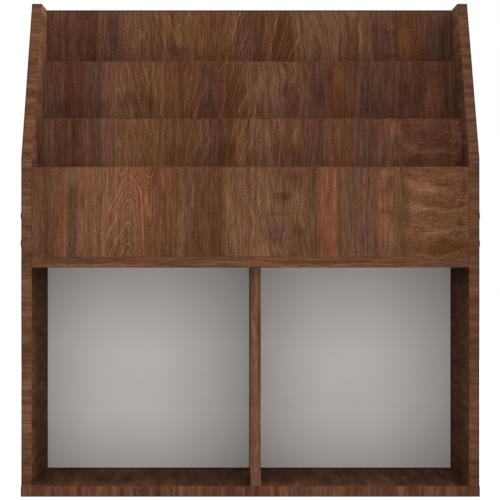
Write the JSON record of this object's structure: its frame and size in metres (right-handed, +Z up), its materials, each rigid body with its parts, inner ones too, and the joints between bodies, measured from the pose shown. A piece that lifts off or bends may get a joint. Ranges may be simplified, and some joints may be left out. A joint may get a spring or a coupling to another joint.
{
  "type": "kids book rack",
  "caption": "Low wooden book rack for children: open cubbies below a divider-supported shelf, and stepped full-width book pockets above between slanted sides.",
  "frame": {"origin": "on the floor, under the middle of the overall width and depth", "axes": "+Z up, +X to the right of someone facing the rack, -Y out of the open front, +Y to the wall"},
  "size_m": [0.703, 0.3002, 0.773],
  "materials": {
    "walnut_laminate": "satin walnut-grain faced board with matching edge bands",
    "grey_hardboard": "matt light grey lacquered hardboard",
    "screw_steel": "zinc-plated",
    "cap_plastic": "moulded dark brown, fine texture",
    "dowel_beech": "plain beech"
  },
  "bodies": {
    "root": {"side_left": "walnut_laminate", "side_right": "walnut_laminate", "bottom_board": "walnut_laminate", "divider": "walnut_laminate", "mid_shelf": "walnut_laminate", "front_panel": "walnut_laminate", "second_panel": "walnut_laminate", "third_panel": "walnut_laminate", "back_board": "walnut_laminate", "second_pocket_floor": "walnut_laminate", "third_pocket_floor": "walnut_laminate", "back_sheet": "grey_hardboard", "side_left_foot_screw_1": "screw_steel", "side_left_foot_screw_2": "screw_steel", "side_right_foot_screw_1": "screw_steel", "side_right_foot_screw_2": "screw_steel", "divider_foot_screw_1": "screw_steel", "divider_foot_screw_2": "screw_steel", "divider_top_screw_1": "screw_steel", "divider_top_screw_2": "screw_steel", "left_front_panel_screw_1": "screw_steel", "left_front_panel_screw_2": "screw_steel", "left_second_panel_screw_1": "screw_steel", "left_third_panel_screw_1": "screw_steel", "left_back_board_screw_1": "screw_steel", "left_back_board_screw_2": "screw_steel", "left_mid_shelf_screw_1": "screw_steel", "left_mid_shelf_screw_2": "screw_steel", "right_front_panel_screw_1": "screw_steel", "right_front_panel_screw_2": "screw_steel", "right_second_panel_screw_1": "screw_steel", "right_third_panel_screw_1": "screw_steel", "right_back_board_screw_1": "screw_steel", "right_back_board_screw_2": "screw_steel", "right_mid_shelf_screw_1": "screw_steel", "right_mid_shelf_screw_2": "screw_steel", "left_front_panel_cap_1": "cap_plastic", "left_front_panel_cap_2": "cap_plastic", "left_second_panel_cap_1": "cap_plastic", "left_third_panel_cap_1": "cap_plastic", "left_back_board_cap_1": "cap_plastic", "left_back_board_cap_2": "cap_plastic", "left_mid_shelf_cap_1": "cap_plastic", "left_mid_shelf_cap_2": "cap_plastic", "right_front_panel_cap_1": "cap_plastic", "right_front_panel_cap_2": "cap_plastic", "right_second_panel_cap_1": "cap_plastic", "right_third_panel_cap_1": "cap_plastic", "right_back_board_cap_1": "cap_plastic", "right_back_board_cap_2": "cap_plastic", "right_mid_shelf_cap_1": "cap_plastic", "right_mid_shelf_cap_2": "cap_plastic", "left_second_panel_dowel": "dowel_beech", "left_third_panel_dowel": "dowel_beech", "left_second_pocket_floor_dowel": "dowel_beech", "left_third_pocket_floor_dowel": "dowel_beech", "right_second_panel_dowel": "dowel_beech", "right_third_panel_dowel": "dowel_beech", "right_second_pocket_floor_dowel": "dowel_beech", "right_third_pocket_floor_dowel": "dowel_beech"}
  },
  "joints": []
}
